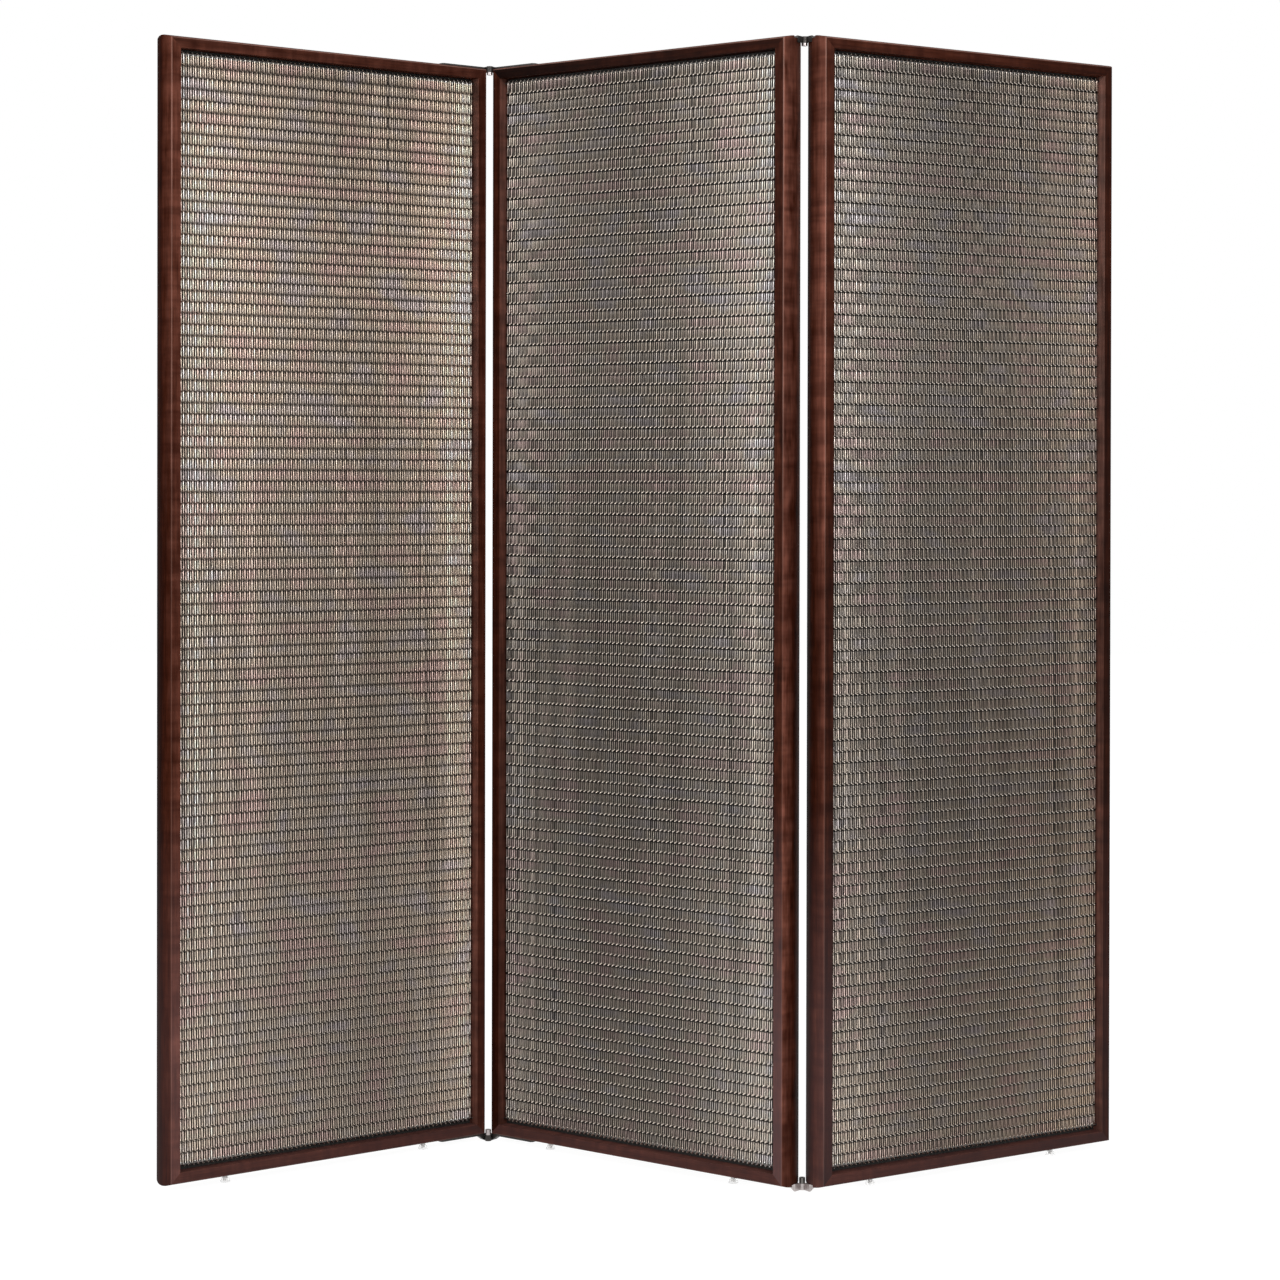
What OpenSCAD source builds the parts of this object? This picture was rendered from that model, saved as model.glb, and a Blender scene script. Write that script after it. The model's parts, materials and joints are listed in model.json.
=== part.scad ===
// Three-leaf folding room divider: mitred hardwood frames with convex outer sides, a thin core
// board in each frame, and a curtain of linked wire coils on both faces of every board.
// Each panel is drawn in its own frame: x runs along its width from the left arris, y runs from
// its front face to its back, z runs up from its lower arris. The panels are then set in a zigzag.

/* [Panels] */
// Width of a panel, from arris to arris
panel_w = 598; // [400:1:900]
// Height of a panel, from arris to arris
panel_h = 1799; // [900:1:2200]
// Angle between the left and the centre panel, on the front side
left_angle = 104.5; // [80:0.5:140]
// Angle between the centre and the right panel, on the back side
right_angle = 109; // [80:0.5:140]
// Turn of the centre panel away from square to the front
centre_turn = 37.5; // [15:0.5:45]

/* [Frame] */
// Width of the flat face of a stile or rail
face_w = 16; // [14:0.5:30]
// Thickness of the frame, front to back
depth = 48; // [42:1:70]
// How far the outer side swells out between its two arrises
bulge = 5; // [2.5:0.5:7]
// Width of the small bevel on each outer arris
ease = 0.8; // [0.3:0.1:1.5]

/* [Corner tenons] */
// Thickness of the loose tenon inside each mitre
tenon_t = 5; // [3:0.5:6]
// Length of the tenon across the mitre
tenon_l = 12; // [8:1:14]
// Width of the tenon along the mitre
tenon_w = 8; // [5:0.5:9]
// Play round a tenon in its pocket
tenon_play = 0.1; // [0.05:0.05:0.2]

/* [Core board] */
// Thickness of the board
core_t = 4; // [3:0.5:6]
// Depth of the groove that holds the board
groove_d = 8; // [4:0.5:9]
// Play on each side of the board in its groove
board_play = 0.15; // [0.05:0.05:0.3]
// Gap between the edge of the board and the bottom of the groove
board_edge_gap = 1; // [0.5:0.5:2]

/* [Coil mesh] */
// Height from one cross rod to the next
row_pitch = 17.68; // [12:0.01:30]
// Thickness of the flattened coils
mesh_t = 6; // [4:0.5:8]
// Set-back of the coils from the face of the frame
mesh_recess = 12; // [9:0.5:13]
// Gap between the lowest coil and the bottom rail
mesh_gap_bottom = 6.5; // [3:0.5:15]
// Least gap between the highest coil and the top rail
mesh_gap_top = 4; // [3:0.5:15]
// Gap between the coils and each stile
mesh_side_gap = 2; // [0.5:0.5:5]
// Diameter of the cross rods that link the rows
rod_d = 2; // [1.5:0.1:2.5]
// Diameter of the end rods that stretch the mesh
end_rod_d = 3; // [2.5:0.1:4]
// How far an end rod reaches into a stile
end_rod_seat = 6; // [3:0.5:10]
// Play round an end rod in its hole
end_rod_play = 0.05; // [0.02:0.01:0.1]
// Gap between a row of coils and its rods
row_play = 0.3; // [0.2:0.05:0.5]

/* [Hinges] */
// Distance of the hinge axis in front of the face that it folds on
pivot_proud = 1; // [0.5:0.1:2]
// Thickness of the wing in the gap between the panels
wing_t = 2.7; // [2:0.1:3.5]
// Gap between a wing and its pocket in the crown of the panel's end
wing_clear = 0.5; // [0.3:0.1:1]
// Depth of that pocket below the crown
wing_sink = 2.5; // [1:0.25:2.75]
// Gap between the two wings when the panels stand in line
wing_gap = 0.6; // [0.4:0.1:1]
// Width of a wing, front to back
wing_w = 12; // [8:1:16]
// Height of a wing and of the two rings that it carries
wing_h = 10; // [8:0.5:14]
// Reach of a top hinge's wing below its seat
wing_drop_top = 6; // [4:0.5:8]
// Reach of a bottom hinge's wing past its seat, towards the floor
wing_drop_bottom = 11.5; // [8:0.5:12]
// Gap between a ring and the end arris of a panel
ring_clear = 0.7; // [0.5:0.1:1.5]
// Gap between a ring and the leaves
ring_room = 1; // [0.6:0.1:1.5]
// Gap between the two rings and under the pin head
ring_gap = 0.2; // [0.1:0.05:0.4]
// Length of a hinge leaf along the rail
leaf_l = 85; // [70:1:120]
// Width of a hinge leaf
leaf_w = 20; // [16:0.5:22]
// Thickness of a hinge leaf
leaf_t = 3; // [2.75:0.25:5]
// Bevel on the corners of a leaf
leaf_bevel = 3; // [1:0.5:5]
// Length over which a leaf widens behind its wing
leaf_taper = 6; // [3:0.5:10]
// Reach of the wedge that stiffens the wing of a bottom hinge, from the hinge axis
wedge_l = 15; // [8:1:20]
// Depth of the flat seat of a leaf below the crown of the rail
seat_cut = 3; // [1.5:0.25:3.5]
// Gap round a leaf in its seat
seat_play = 0.3; // [0.2:0.1:0.6]
// Diameter of the hinge pin
pin_d = 5; // [3.5:0.5:6]
// Radial running fit between the pin and its rings
pin_fit = 0.05; // [0.02:0.01:0.1]
// How much smaller the radius of the pin head is than that of the rings
pin_head_step = 0.5; // [0.2:0.1:1]
// Height of the pin head on a top hinge
pin_head_top = 4.5; // [3:0.5:8]
// Height of the pin head on a bottom hinge
pin_head_bottom = 9; // [5:0.5:12]
// Diameter of the round socket in the end of the pin head
pin_socket_d = 4.5; // [3:0.5:6]
// Depth of that socket
pin_socket_h = 2; // [1:0.5:2.5]

/* [Hinge screws] */
// Shank diameter of a hinge screw
screw_d = 4; // [3:0.5:4.5]
// Head diameter of a hinge screw
screw_head_d = 8; // [6:0.5:9]
// Depth of the countersunk head
screw_head_h = 2.2; // [1.5:0.1:2.8]
// Length of a hinge screw
screw_l = 14; // [10:0.5:16]
// Play round a screw in its holes
screw_play = 0.1; // [0.05:0.05:0.2]
// Distance from the arris to the first screw
screw_first = 26; // [24:1:32]
// Distance from the last screw to the end of the leaf
screw_end = 11; // [7:1:15]

/* [Glides] */
// Gap between the lowest edge of a hinge and the floor
floor_gap = 2; // [1.5:0.5:8]
// Distance from the end of a hinge leaf to the middle of the next glide
glide_gap = 25; // [18:1:80]
// Radius of a glide at the floor
glide_r = 8; // [7:0.5:14]
// How much narrower the glide's radius is at its top
glide_taper = 2; // [0.5:0.5:3]
// Height of a glide's foot
glide_h = 6; // [4:0.5:9]
// Thickness of the foot under the stud
glide_base = 2; // [1:0.5:3]
// Radius of the collar between the foot and the rail
collar_r = 4; // [3.8:0.1:6]
// Diameter of the glide's stud
stud_d = 6; // [4:0.5:7]
// Wood left between the stud and the groove of the board
stud_wood = 2; // [1:0.5:4]
// Play round the stud in its holes
stud_play = 0.1; // [0.05:0.05:0.2]
// Depth of the flat that is cut in the rail over a glide
spot_depth = 0.6; // [0.3:0.1:1]
// Gap round the collar on that flat
spot_play = 1; // [0.5:0.5:3]

/* [Hidden] */
$fn = 64;

// Colours
walnut = "#4b2a20";
end_grain = "#c49a6c";
board_black = "#1d1a18";
bronze = "#a3968a";
steel = "#8d8b8a";
dark_steel = "#3f3c3b";
nylon = "#e9e6df";

// Overshoot of a cutting shape past the surface that it cuts
over = 1;

// Number of sides that a preview gives the large arc of the frame section
arc_fn = 256;

// Frame section: the outer side is an arc through both arrises, bulge out at mid-depth
mid_y = depth / 2;
arc_r = (mid_y * mid_y + bulge * bulge) / (2 * bulge);
arc_x = arc_r - bulge;
// The bevel of an arris leaves the face at x = ease and meets the arc at this depth
bevel_a = ease - arc_x;
bevel_y = (bevel_a + mid_y
    + sqrt(pow(bevel_a + mid_y, 2) - 2 * (bevel_a * bevel_a + mid_y * mid_y - arc_r * arc_r))) / 2;
bevel_x = ease - bevel_y;

// Core board and mesh stations through the depth
core_y = mid_y - core_t / 2;
front_mesh_y = mesh_recess + mesh_t / 2;
back_mesh_y = depth - front_mesh_y;
tenon_y = (core_y + core_t + board_play + depth) / 2;
// The tenon is set back from the inner corner so that it stays inside the wood
tenon_at = face_w - (tenon_l + tenon_w) / 2 / sqrt(2) - over;

// Mesh rows
mesh_room = panel_h - 2 * face_w - mesh_gap_bottom - mesh_gap_top - mesh_t;
rows = floor(mesh_room / row_pitch);
first_rod_z = face_w + mesh_gap_bottom + mesh_t / 2;
last_rod_z = first_rod_z + rows * row_pitch;
mesh_x0 = face_w + mesh_side_gap;
mesh_l = panel_w - 2 * mesh_x0;

// Hinge axis: the wing's stack sets its distance from the end arris, and that sets the rings
wing_x = wing_gap / 2;
pivot_out = wing_x + wing_t + wing_clear + bulge - wing_sink;
ring_r = pivot_out - ring_clear;
pin_head_r = ring_r - pin_head_step;
// How deep the neck of a ring sinks into the ring and the wing
neck_overlap = 1;

// Hinge stations, measured from the hinge axis into the panel
leaf_y = ring_r + ring_room;
leaf_end_x = pivot_out + leaf_l;
taper_x = pivot_out + leaf_taper;
seat_h = bulge - seat_cut;
screws = 3;
screw_y = leaf_y + leaf_w / 2;
screw_step = (leaf_l - screw_first - screw_end) / (screws - 1);

// Heights above the floor
arris_z = seat_h + wing_drop_bottom + floor_gap;
spot_z = arris_z - bulge + spot_depth;
collar_h = spot_z - glide_h;

// Glides
glide_x = leaf_l + glide_gap;
stud_socket = glide_h - glide_base;
stud_reach = face_w - groove_d - stud_wood;

// Places of the three panels, from the turns of their width against the x axis
left_turn = 180 - left_angle - centre_turn;
right_turn = 180 - right_angle - centre_turn;
function turned(a, p) = [cos(a) * p[0] - sin(a) * p[1], sin(a) * p[0] + cos(a) * p[1]];
left_end_front_pivot = [-pivot_out, -pivot_proud];
right_end_front_pivot = [panel_w + pivot_out, -pivot_proud];
right_end_back_pivot = [panel_w + pivot_out, depth + pivot_proud];
left_end_back_pivot = [-pivot_out, depth + pivot_proud];
// Measured from the left hinge axis
centre_from_axis = -turned(-centre_turn, left_end_front_pivot);
left_from_axis = -turned(left_turn, right_end_front_pivot);
right_axis_from_axis = centre_from_axis + turned(-centre_turn, right_end_back_pivot);
right_from_axis = right_axis_from_axis - turned(right_turn, left_end_back_pivot);
// Outline points of one end of a panel: both ends of a bevel and stations along the arc
arc_span = asin((mid_y - bevel_y) / arc_r);
arc_stations = [-1:0.25:1];
end_points = concat([[ease, 0], [ease, depth]], [for (k = arc_stations)
    [arc_x - arc_r * cos(k * arc_span), mid_y + arc_r * sin(k * arc_span)]]);
plan_points = concat(end_points, [for (p = end_points) [panel_w - p[0], p[1]]]);
all_points = concat(
    [for (p = plan_points) left_from_axis + turned(left_turn, p)],
    [for (p = plan_points) centre_from_axis + turned(-centre_turn, p)],
    [for (p = plan_points) right_from_axis + turned(right_turn, p)]);
xs = [for (p = all_points) p[0]];
ys = [for (p = all_points) p[1]];
// The origin is below the middle of the whole divider's box
left_axis = -[(min(xs) + max(xs)) / 2, (min(ys) + max(ys)) / 2];
right_axis = left_axis + right_axis_from_axis;
echo(left_axis = left_axis, right_axis = right_axis, rows = rows, arris_z = arris_z);

// Moves a panel's own frame to its place in the zigzag
module in_panel(from_axis, turn) {
    translate([left_axis[0] + from_axis[0], left_axis[1] + from_axis[1], arris_z])
        rotate([0, 0, turn])
            children();
}

module in_left() { in_panel(left_from_axis, left_turn) children(); }
module in_centre() { in_panel(centre_from_axis, -centre_turn) children(); }
module in_right() { in_panel(right_from_axis, right_turn) children(); }

module flipped(axis, on) {
    if (on) mirror(axis) children();
    else children();
}

// Hinge frame: z axis on the pivot, x into the panel, y from the folding face into the depth,
// z = 0 on the arris plane and z rising out of the rail
module at_pivot(at_right_end, at_back) {
    translate([
        at_right_end ? panel_w + pivot_out : -pivot_out,
        at_back ? depth + pivot_proud : -pivot_proud,
        0
    ])
        flipped([1, 0, 0], at_right_end)
            flipped([0, 1, 0], at_back)
                children();
}

module at_level(top) {
    translate([0, 0, top ? panel_h : 0])
        flipped([0, 0, 1], !top)
            children();
}

// Section of a stile or rail with its outer side towards -x, and the groove for the board
module frame_section() {
    difference() {
        intersection() {
            translate([arc_x, mid_y]) circle(r = arc_r, $fn = arc_fn);
            polygon([
                [face_w, 0], [ease, 0], [-bulge - over, bulge + over + ease],
                [-bulge - over, depth - bulge - over - ease], [ease, depth], [face_w, depth]
            ]);
        }
        translate([face_w - groove_d, core_y - board_play])
            square([groove_d + over, core_t + 2 * board_play]);
    }
}

// A member of the given length along z, mitred at both ends
module member(len) {
    k = bulge + over;
    inner = face_w + over;
    intersection() {
        translate([0, 0, -k]) linear_extrude(len + 2 * k) frame_section();
        translate([0, depth + over, 0])
            rotate([90, 0, 0])
                linear_extrude(depth + 2 * over)
                    polygon([[-k, -k], [inner, inner], [inner, len - inner], [-k, len + k]]);
    }
}

module left_stile_blank() { member(panel_h); }
module right_stile_blank() { translate([panel_w, 0, 0]) mirror([1, 0, 0]) member(panel_h); }
module bottom_rail_blank() { mirror([1, 0, -1]) member(panel_w); }
module top_rail_blank() { translate([0, 0, panel_h]) mirror([0, 0, 1]) bottom_rail_blank(); }

// One loose tenon block, grown by a play, at each of a panel's four corners
module tenon_blocks(play) {
    for (right = [false, true], top = [false, true])
        translate([right ? panel_w : 0, tenon_y, top ? panel_h : 0])
            flipped([1, 0, 0], right)
                flipped([0, 0, 1], top)
                    translate([tenon_at, 0, tenon_at])
                        rotate([0, 45, 0])
                            cube([tenon_l + 2 * play, tenon_t + 2 * play, tenon_w + 2 * play],
                                center = true);
}

// Outline of a hinge leaf: a plate with bevelled corners that narrows towards its wing
module leaf_outline() {
    polygon([
        [wing_x, leaf_y], [leaf_end_x - leaf_bevel, leaf_y],
        [leaf_end_x, leaf_y + leaf_bevel], [leaf_end_x, leaf_y + leaf_w - leaf_bevel],
        [leaf_end_x - leaf_bevel, leaf_y + leaf_w], [taper_x, leaf_y + leaf_w],
        [wing_x, leaf_y + wing_w]
    ]);
}

module screw_stations() {
    for (i = [0:screws - 1])
        translate([pivot_out + screw_first + i * screw_step, screw_y, 0]) children();
}

// The flat seat, the pocket for the wing and the screw holes that a leaf needs in the frame
module leaf_seat(top) {
    translate([-over, leaf_y - seat_play, seat_h])
        cube([leaf_end_x + seat_play + over, leaf_w + 2 * seat_play, bulge + over]);
    translate([-over, leaf_y - seat_play, wing_z(top) - seat_play])
        cube([wing_x + wing_t + wing_clear + over, wing_w + 2 * seat_play, wing_h + bulge]);
    screw_stations()
        translate([0, 0, seat_h + leaf_t - screw_l - screw_play])
            cylinder(d = screw_d + 2 * screw_play, h = screw_l);
}

// Holes in one stile for the ends of the four end rods
module end_rod_holes(at_right_end) {
    r = end_rod_d / 2 + end_rod_play;
    x = at_right_end ? panel_w - face_w - over : face_w - end_rod_seat;
    for (y = [front_mesh_y, back_mesh_y], z = [first_rod_z, last_rod_z])
        translate([x, y, z])
            rotate([0, 90, 0])
                cylinder(r = r, h = end_rod_seat + over);
}

module at_glides() {
    for (x = [glide_x, panel_w - glide_x])
        translate([x, mid_y, -arris_z]) children();
}

// Stud hole and flat in the underside of a bottom rail
module glide_holes() {
    at_glides() {
        cylinder(d = stud_d + 2 * stud_play, h = arris_z + stud_reach + stud_play);
        cylinder(r = collar_r + spot_play, h = spot_z);
    }
}

// Wooden parts. An end's hinge is "none", "front" or "back", after the face that it folds on.
module stile(at_right_end, hinge) {
    color(walnut)
        difference() {
            if (at_right_end) right_stile_blank();
            else left_stile_blank();
            tenon_blocks(tenon_play);
            end_rod_holes(at_right_end);
            for (top = [false, true]) end_seat(top, at_right_end, hinge);
        }
}

module end_seat(top, at_right_end, hinge) {
    if (hinge != "none") at_level(top) at_pivot(at_right_end, hinge == "back") leaf_seat(top);
}

module rail(top, left_hinge, right_hinge) {
    color(walnut)
        difference() {
            if (top) top_rail_blank();
            else bottom_rail_blank();
            tenon_blocks(tenon_play);
            if (!top) glide_holes();
            end_seat(top, false, left_hinge);
            end_seat(top, true, right_hinge);
        }
}

module corner_tenons() {
    color(end_grain) tenon_blocks(0);
}

module core_board() {
    edge = face_w - groove_d + board_edge_gap;
    color(board_black)
        translate([edge, core_y, edge])
            cube([panel_w - 2 * edge, core_t, panel_h - 2 * edge]);
}

// Metal mesh: each row is a flattened coil with rounded edges, closed here to one band
module mesh_rows(y) {
    band_h = row_pitch - rod_d - 2 * row_play;
    color(bronze)
        for (i = [0:rows - 1])
            translate([mesh_x0, y, first_rod_z + (i + 0.5) * row_pitch])
                rotate([90, 0, 90])
                    linear_extrude(mesh_l)
                        intersection() {
                            circle(d = i == 0 || i == rows - 1 ? band_h - end_rod_d + rod_d : band_h);
                            square([mesh_t, row_pitch], center = true);
                        }
}

// The cross rods between the rows
module mesh_rods(y) {
    color(bronze)
        for (i = [1:rows - 1])
            translate([mesh_x0, y, first_rod_z + i * row_pitch])
                rotate([0, 90, 0])
                    cylinder(d = rod_d, h = mesh_l);
}

// The first and the last rod of each mesh reach into the stiles
module end_rods() {
    x0 = face_w - end_rod_seat;
    color(steel)
        for (y = [front_mesh_y, back_mesh_y], z = [first_rod_z, last_rod_z])
            translate([x0, y, z])
                rotate([0, 90, 0])
                    cylinder(d = end_rod_d, h = panel_w - 2 * x0);
}

// Hinges. The wing of a top hinge starts below its seat; a bottom hinge is the same, turned
// over, with its wing shifted towards the floor.
function wing_z(top) = seat_h + (top ? -wing_drop_top : wing_drop_bottom - wing_h);

module hinge_leaf(top, ring_outer, finish) {
    z0 = wing_z(top);
    ring_h = (wing_h - ring_gap) / 2;
    ring_z = z0 + (ring_outer ? ring_h + ring_gap : 0);
    color(finish)
        difference() {
            union() {
                translate([0, 0, seat_h]) linear_extrude(leaf_t) leaf_outline();
                translate([wing_x, leaf_y, z0]) cube([wing_t, wing_w, wing_h]);
                if (!top) wing_wedge();
                translate([0, 0, ring_z]) cylinder(r = ring_r, h = ring_h);
                translate([0, 0, ring_z]) linear_extrude(ring_h) ring_neck();
            }
            translate([0, 0, ring_z - over]) cylinder(r = pin_d / 2 + pin_fit, h = ring_h + 2 * over);
            screw_stations() leaf_screw_hole();
        }
}

// The wedge between the wing and the leaf of a bottom hinge
module wing_wedge() {
    wing_top = seat_h + wing_drop_bottom;
    translate([0, leaf_y + wing_w, 0])
        rotate([90, 0, 0])
            linear_extrude(wing_w)
                polygon([
                    [wing_x, seat_h], [wedge_l, seat_h], [wedge_l, seat_h + leaf_t],
                    [wing_x + wing_t, wing_top], [wing_x, wing_top]
                ]);
}

// Web that joins a ring to its wing
module ring_neck() {
    polygon([
        [wing_x, 0], [ring_r - neck_overlap, neck_overlap],
        [wing_x + wing_t, leaf_y + neck_overlap], [wing_x, leaf_y + neck_overlap]
    ]);
}

// A countersunk hole through a leaf
module leaf_screw_hole() {
    hole_d = screw_d + 2 * screw_play;
    flare = (screw_head_d - screw_d) / screw_head_h;
    cone_h = screw_head_h + over;
    translate([0, 0, seat_h - over]) cylinder(d = hole_d, h = leaf_t + 2 * over);
    translate([0, 0, seat_h + leaf_t - screw_head_h])
        cylinder(d1 = hole_d, d2 = hole_d + flare * cone_h, h = cone_h);
}

module hinge_screw() {
    translate([0, 0, seat_h + leaf_t - screw_l])
        cylinder(d = screw_d, h = screw_l - screw_head_h);
    translate([0, 0, seat_h + leaf_t - screw_head_h])
        cylinder(d1 = screw_d, d2 = screw_head_d, h = screw_head_h);
}

module leaf_screws(at_right_end, at_back) {
    for (top = [false, true])
        at_level(top) at_pivot(at_right_end, at_back) screw_stations() hinge_screw();
}

// The pin fills both rings. Its head is on the side of the panels, with a socket in its end.
module hinge_pin(top, finish) {
    head_h = top ? pin_head_top : pin_head_bottom;
    z0 = wing_z(top) - ring_gap;
    color(finish)
        difference() {
            union() {
                translate([0, 0, z0]) cylinder(d = pin_d, h = wing_h + ring_gap);
                translate([0, 0, z0 - head_h]) cylinder(r = pin_head_r, h = head_h);
            }
            translate([0, 0, z0 - head_h - over])
                cylinder(d = pin_socket_d, h = pin_socket_h + over);
        }
}

// Glides
module glides() {
    color(nylon)
        at_glides()
            difference() {
                cylinder(r1 = glide_r, r2 = glide_r - glide_taper, h = glide_h);
                translate([0, 0, glide_h - stud_socket])
                    cylinder(d = stud_d + 2 * stud_play, h = stud_socket + over);
            }
}

module glide_studs() {
    color(steel)
        at_glides() {
            translate([0, 0, glide_h - stud_socket])
                cylinder(d = stud_d, h = arris_z + stud_reach - glide_h + stud_socket);
            translate([0, 0, glide_h]) cylinder(r = collar_r, h = collar_h);
        }
}

// Left panel: hinged at its right end, on the front face
in_left() stile(false, "none");  // left_outer_stile
in_left() stile(true, "front");  // left_hinge_stile
in_left() rail(true, "none", "front");  // left_top_rail
in_left() rail(false, "none", "front");  // left_bottom_rail
in_left() corner_tenons();  // left_corner_tenons
in_left() core_board();  // left_core_board
in_left() end_rods();  // left_end_rods
in_left() mesh_rows(front_mesh_y);  // left_front_mesh_rows
in_left() mesh_rods(front_mesh_y);  // left_front_mesh_rods
in_left() mesh_rows(back_mesh_y);  // left_back_mesh_rows
in_left() mesh_rods(back_mesh_y);  // left_back_mesh_rods
in_left() color(steel) leaf_screws(true, false);  // left_hinge_screws
in_left() glides();  // left_glides
in_left() glide_studs();  // left_glide_studs

// Centre panel: hinged at its left end on the front face, at its right end on the back face
in_centre() stile(false, "front");  // centre_left_stile
in_centre() stile(true, "back");  // centre_right_stile
in_centre() rail(true, "front", "back");  // centre_top_rail
in_centre() rail(false, "front", "back");  // centre_bottom_rail
in_centre() corner_tenons();  // centre_corner_tenons
in_centre() core_board();  // centre_core_board
in_centre() end_rods();  // centre_end_rods
in_centre() mesh_rows(front_mesh_y);  // centre_front_mesh_rows
in_centre() mesh_rods(front_mesh_y);  // centre_front_mesh_rods
in_centre() mesh_rows(back_mesh_y);  // centre_back_mesh_rows
in_centre() mesh_rods(back_mesh_y);  // centre_back_mesh_rods
in_centre() color(steel) {  // centre_hinge_screws
        leaf_screws(false, false);
        leaf_screws(true, true);
    }
in_centre() glides();  // centre_glides
in_centre() glide_studs();  // centre_glide_studs

// Right panel: hinged at its left end, on the back face
in_right() stile(false, "back");  // right_hinge_stile
in_right() stile(true, "none");  // right_outer_stile
in_right() rail(true, "back", "none");  // right_top_rail
in_right() rail(false, "back", "none");  // right_bottom_rail
in_right() corner_tenons();  // right_corner_tenons
in_right() core_board();  // right_core_board
in_right() end_rods();  // right_end_rods
in_right() mesh_rows(front_mesh_y);  // right_front_mesh_rows
in_right() mesh_rods(front_mesh_y);  // right_front_mesh_rods
in_right() mesh_rows(back_mesh_y);  // right_back_mesh_rows
in_right() mesh_rods(back_mesh_y);  // right_back_mesh_rods
in_right() color(steel) leaf_screws(false, true);  // right_hinge_screws
in_right() glides();  // right_glides
in_right() glide_studs();  // right_glide_studs

// Left hinges, between the left and the centre panel
in_left() at_level(true) at_pivot(true, false) hinge_leaf(true, false, dark_steel);  // left_top_hinge_side_leaf
in_centre() at_level(true) at_pivot(false, false) hinge_leaf(true, true, dark_steel);  // left_top_hinge_centre_leaf
in_centre() at_level(true) at_pivot(false, false) hinge_pin(true, dark_steel);  // left_top_hinge_pin
in_left() at_level(false) at_pivot(true, false) hinge_leaf(false, false, steel);  // left_bottom_hinge_side_leaf
in_centre() at_level(false) at_pivot(false, false) hinge_leaf(false, true, steel);  // left_bottom_hinge_centre_leaf
in_centre() at_level(false) at_pivot(false, false) hinge_pin(false, steel);  // left_bottom_hinge_pin

// Right hinges, between the centre and the right panel
in_right() at_level(true) at_pivot(false, true) hinge_leaf(true, false, dark_steel);  // right_top_hinge_side_leaf
in_centre() at_level(true) at_pivot(true, true) hinge_leaf(true, true, dark_steel);  // right_top_hinge_centre_leaf
in_centre() at_level(true) at_pivot(true, true) hinge_pin(true, dark_steel);  // right_top_hinge_pin
in_right() at_level(false) at_pivot(false, true) hinge_leaf(false, false, steel);  // right_bottom_hinge_side_leaf
in_centre() at_level(false) at_pivot(true, true) hinge_leaf(false, true, steel);  // right_bottom_hinge_centre_leaf
in_centre() at_level(false) at_pivot(true, true) hinge_pin(false, steel);  // right_bottom_hinge_pin
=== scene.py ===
# %% [markdown]
# # A folding screen of walnut and coiled wire
# Three equal panels stand in a zigzag. Each one is a dark walnut frame with a convex outer side, a
# thin black board, and a curtain of linked wire coils on both faces. The frames, boards, rods, hinges
# and glides come ready made from the packed model. This lesson adds what only the looks need: every
# turn of the wire, the figure of the wood, and the finish of each metal.

import json
import math

import bpy
import numpy as np
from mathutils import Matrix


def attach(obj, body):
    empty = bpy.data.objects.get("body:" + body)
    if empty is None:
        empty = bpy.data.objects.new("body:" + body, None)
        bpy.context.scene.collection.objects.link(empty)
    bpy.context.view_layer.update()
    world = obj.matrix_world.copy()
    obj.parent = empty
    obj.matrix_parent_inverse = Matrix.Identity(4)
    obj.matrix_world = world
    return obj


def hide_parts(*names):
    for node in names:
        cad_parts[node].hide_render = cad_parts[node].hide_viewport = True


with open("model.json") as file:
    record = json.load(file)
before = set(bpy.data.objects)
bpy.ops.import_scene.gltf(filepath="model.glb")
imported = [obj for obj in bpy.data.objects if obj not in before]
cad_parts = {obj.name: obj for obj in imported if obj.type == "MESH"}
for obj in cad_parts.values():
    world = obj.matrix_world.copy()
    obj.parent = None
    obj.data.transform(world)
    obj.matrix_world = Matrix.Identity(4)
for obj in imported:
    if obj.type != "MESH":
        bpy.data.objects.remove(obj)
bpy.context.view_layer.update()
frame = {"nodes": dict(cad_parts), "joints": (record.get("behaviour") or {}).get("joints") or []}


# %% [markdown]
# ## Where the panels stand
# The wire is easiest to work out on a panel of its own: x along the width, y from the front face to the
# back, z up from the lower arris. Each panel is then turned and put on its hinge axis, which the packed
# model's joints give. So the coils land in the frames with no fitting by eye.

# %% Sizes of a panel, in metres
# Width and height lie between the arrises, and heights count from the lower one, which stands ARRIS_Z over
# the floor. MESH_Y is the depth of the rods behind the front face. A pivot lies PIVOT_OUT beside the panel
# and PIVOT_PROUD off its face.
WIDTH, HEIGHT, DEPTH = 0.598, 1.799, 0.048
ARRIS_Z = 0.0155
ROW_PITCH, ROWS = 0.01768, 99
FIRST_ROD_Z = 0.0255
MESH_X0, MESH_LENGTH = 0.018, 0.562
FRAME_WIDE = 0.016
MESH_Y = 0.015
PIVOT_OUT, PIVOT_PROUD = 0.006, 0.001

hinge_axis = {joint["name"]: np.array(joint["pos_m"][:2]) for joint in frame["joints"]}
left_axis, right_axis = hinge_axis["fold_left"], hinge_axis["fold_right"]
PANELS = {
    "left": dict(turn=38.0, axis=left_axis, pivot=(WIDTH + PIVOT_OUT, -PIVOT_PROUD), lean=-1),
    "centre": dict(turn=-37.5, axis=left_axis, pivot=(-PIVOT_OUT, -PIVOT_PROUD), lean=1),
    "right": dict(turn=33.5, axis=right_axis, pivot=(-PIVOT_OUT, DEPTH + PIVOT_PROUD), lean=-1),
}


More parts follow.
